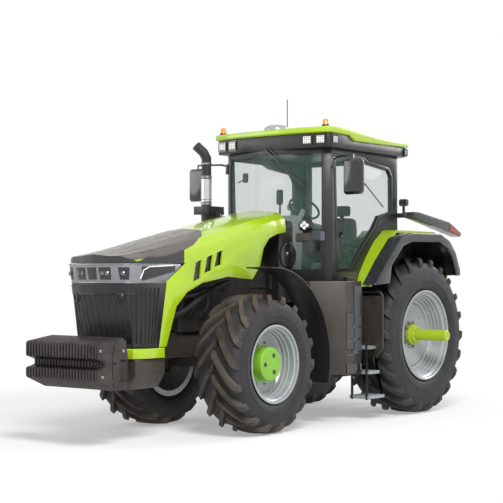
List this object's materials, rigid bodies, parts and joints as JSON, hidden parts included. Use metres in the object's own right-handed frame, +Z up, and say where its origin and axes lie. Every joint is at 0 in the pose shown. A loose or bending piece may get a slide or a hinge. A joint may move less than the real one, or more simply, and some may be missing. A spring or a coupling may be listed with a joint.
{
  "type": "farm tractor",
  "caption": "Large four-wheel-drive row-crop tractor with a glazed cab, steered front axle with fenders, opening hood, hinged cab door, front weight block and rear lift links.",
  "frame": {"origin": "Below the middle of the bounding box, on the ground", "axes": "The tractor faces -Y, its left side is +X, and +Z is up"},
  "size_m": [3.006, 6.475, 3.952],
  "materials": {
    "green_paint": "gloss",
    "hub_green": "gloss",
    "dark_plastic": "matte",
    "grey_plastic": "matte",
    "brown_plastic": "matte",
    "cast_iron": "matte",
    "silver_rim": "satin",
    "tyre_rubber": "matte",
    "tinted_glass": "gloss",
    "seat_cloth": "matte",
    "amber_lens": "gloss"
  },
  "bodies": {
    "chassis": {"front_weights": "brown_plastic", "weight_carrier": "cast_iron", "front_frame": "cast_iron", "front_bar": "green_paint", "radiator": "dark_plastic", "engine_block": "cast_iron", "transmission": "cast_iron", "rear_axle": "cast_iron", "drawbar": "cast_iron", "front_axle": "cast_iron", "cowl": "dark_plastic", "exhaust": "dark_plastic", "cab_floor": "dark_plastic", "cab_frame": "dark_plastic", "windshield": "tinted_glass", "rear_window": "tinted_glass", "right_window": "tinted_glass", "roof": "green_paint", "roof_visor": "dark_plastic", "seat_base": "dark_plastic", "seat_cushion": "seat_cloth", "steering_console": "dark_plastic", "steering_wheel": "dark_plastic", "steps": "dark_plastic", "step_guard": "brown_plastic", "gps_receiver": "silver_rim", "antenna": "dark_plastic", "rear_fender_left": "green_paint", "fender_flare_left": "grey_plastic", "tail_lamp_left": "grey_plastic", "mirror_left": "dark_plastic", "beacon_left": "amber_lens", "rear_fender_right": "green_paint", "fender_flare_right": "grey_plastic", "tail_lamp_right": "grey_plastic", "mirror_right": "dark_plastic", "beacon_right": "amber_lens", "fuel_tank": "brown_plastic", "right_tank": "brown_plastic"},
    "hood": {"hood": "green_paint", "grille": "dark_plastic", "headlamp_band": "dark_plastic"},
    "left_door": {"door_frame": "dark_plastic", "door_glass": "tinted_glass"},
    "lower_links": {"lower_links": "cast_iron"},
    "knuckle_left": {"knuckle_left": "cast_iron", "front_fender_left": "dark_plastic"},
    "front_wheel_left": {"front_wheel_left": "hub_green", "front_tyre_left": "tyre_rubber"},
    "rear_wheel_left": {"rear_rim_left": "silver_rim", "rear_tyre_left": "tyre_rubber", "rear_hub_left": "hub_green"},
    "knuckle_right": {"knuckle_right": "cast_iron", "front_fender_right": "dark_plastic"},
    "front_wheel_right": {"front_wheel_right": "hub_green", "front_tyre_right": "tyre_rubber"},
    "rear_wheel_right": {"rear_rim_right": "silver_rim", "rear_tyre_right": "tyre_rubber", "rear_hub_right": "hub_green"}
  },
  "joints": [
    {"name": "steer_left", "type": "hinge", "parent": "chassis", "child": "knuckle_left", "pos_m": [0.56, -1.0125, 0.77], "axis": [0, 0, 1], "range_deg": [-25, 25]},
    {"name": "steer_right", "type": "hinge", "parent": "chassis", "child": "knuckle_right", "pos_m": [-0.56, -1.0125, 0.77], "axis": [0, 0, 1], "range_deg": [-25, 25]},
    {"name": "roll_front_left", "type": "hinge", "parent": "knuckle_left", "child": "front_wheel_left", "pos_m": [0.84, -1.0125, 0.77], "axis": [1, 0, 0], "continuous": true},
    {"name": "roll_front_right", "type": "hinge", "parent": "knuckle_right", "child": "front_wheel_right", "pos_m": [-0.84, -1.0125, 0.77], "axis": [1, 0, 0], "continuous": true},
    {"name": "roll_rear_left", "type": "hinge", "parent": "chassis", "child": "rear_wheel_left", "pos_m": [0.945, 1.9875, 0.99], "axis": [1, 0, 0], "continuous": true},
    {"name": "roll_rear_right", "type": "hinge", "parent": "chassis", "child": "rear_wheel_right", "pos_m": [-0.945, 1.9875, 0.99], "axis": [1, 0, 0], "continuous": true},
    {"name": "hood_hinge", "type": "hinge", "parent": "chassis", "child": "hood", "pos_m": [0, -0.129, 2.46], "axis": [-1, 0, 0], "range_deg": [0, 50]},
    {"name": "door_hinge", "type": "hinge", "parent": "chassis", "child": "left_door", "pos_m": [0.85, 1.8475, 1.6], "axis": [0, 0, 1], "range_deg": [0, 75]},
    {"name": "link_lift", "type": "hinge", "parent": "chassis", "child": "lower_links", "pos_m": [0, 2.4075, 0.58], "axis": [1, 0, 0], "range_deg": [-15, 30]}
  ],
  "couplings": [
    {"joint": "steer_right", "follows": "steer_left", "ratio": 1}
  ]
}
